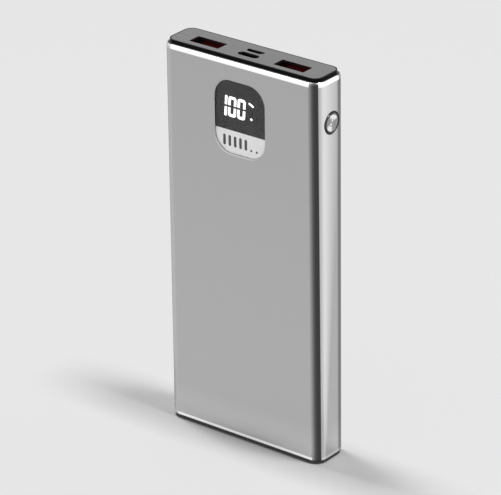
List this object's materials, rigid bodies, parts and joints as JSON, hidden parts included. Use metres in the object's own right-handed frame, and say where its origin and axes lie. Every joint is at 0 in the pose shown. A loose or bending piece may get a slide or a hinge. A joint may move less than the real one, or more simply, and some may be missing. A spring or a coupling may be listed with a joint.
{
  "type": "power bank",
  "caption": "Slim rectangular power bank with an aluminium sleeve, end caps, port plate, lit charge display, side power button, stacked pouch cells and a main board.",
  "frame": {"origin": "middle of the bottom face", "axes": "+Z from the bottom up to the port face, -Y out of the display side, +X towards the side with the power button"},
  "size_m": [0.068, 0.016, 0.147],
  "materials": {
    "sleeve": "anodised, satin",
    "cap": "gloss black",
    "plate": "brushed",
    "foot": "fine moulded texture",
    "tray": "moulded",
    "screw": "zinc plated",
    "lens": "clear polycarbonate",
    "mask": "printed film",
    "label": "printed film",
    "ink": "printed",
    "light": "lit diffuser",
    "unlit": "unlit diffuser",
    "block": "moulded",
    "pin": "tinned",
    "board": "solder mask",
    "shell": "nickel plated",
    "red_tongue": "moulded",
    "black_tongue": "moulded",
    "contact": "gold plated",
    "button": "turned and plated",
    "bezel": "moulded",
    "chip": "moulded epoxy",
    "ferrite": "ferrite",
    "ceramic": "ceramic",
    "pouch": "laminate",
    "foam": "foam",
    "tape": "adhesive sheet",
    "tab": "nickel strip",
    "red_wire": "insulation",
    "black_wire": "insulation",
    "switch_metal": "sprung steel"
  },
  "bodies": {
    "casing": {"board_screws": "screw", "bottom_cap": "cap", "bottom_plate": "foot", "bottom_screws": "screw", "button_bezel": "bezel", "capacitors": "ceramic", "cell_adhesive": "tape", "cell_tabs": "tab", "controller_chip": "chip", "dark_segments": "unlit", "display_block": "block", "display_lens": "lens", "display_pins": "pin", "front_cell": "pouch", "front_pad": "foam", "gauge_bars": "ink", "housing_sleeve": "sleeve", "inductor": "ferrite", "inner_tray": "tray", "lens_carrier": "tray", "lens_label": "label", "lens_mask": "mask", "lit_segments": "light", "main_board": "board", "micro_usb_shell": "shell", "micro_usb_tongue": "black_tongue", "negative_lead": "black_wire", "port_plate": "plate", "positive_lead": "red_wire", "protection_board": "board", "rear_cell": "pouch", "rear_pad": "foam", "switch_base": "chip", "switch_cover": "switch_metal", "switch_dome": "switch_metal", "top_cap": "cap", "top_screws": "screw", "usb_a_left_contacts": "contact", "usb_a_left_shell": "shell", "usb_a_left_tongue": "red_tongue", "usb_a_right_contacts": "contact", "usb_a_right_shell": "shell", "usb_a_right_tongue": "red_tongue", "usb_c_shell": "shell", "usb_c_tongue": "black_tongue"},
    "button": {"power_button": "button"},
    "plunger": {"switch_plunger": "black_tongue"}
  },
  "joints": [
    {"name": "button_slide", "type": "slide", "parent": "casing", "child": "button", "axis": [-1, 0, 0], "range_m": [0, 0.0003], "stiffness_N_per_m": 1500, "springref_m": -0.0003},
    {"name": "plunger_slide", "type": "slide", "parent": "casing", "child": "plunger", "axis": [-1, 0, 0], "range_m": [0, 0.0003], "deforming": ["switch_dome"]}
  ],
  "couplings": [
    {"joint": "plunger_slide", "follows": "button_slide", "ratio": 1}
  ]
}
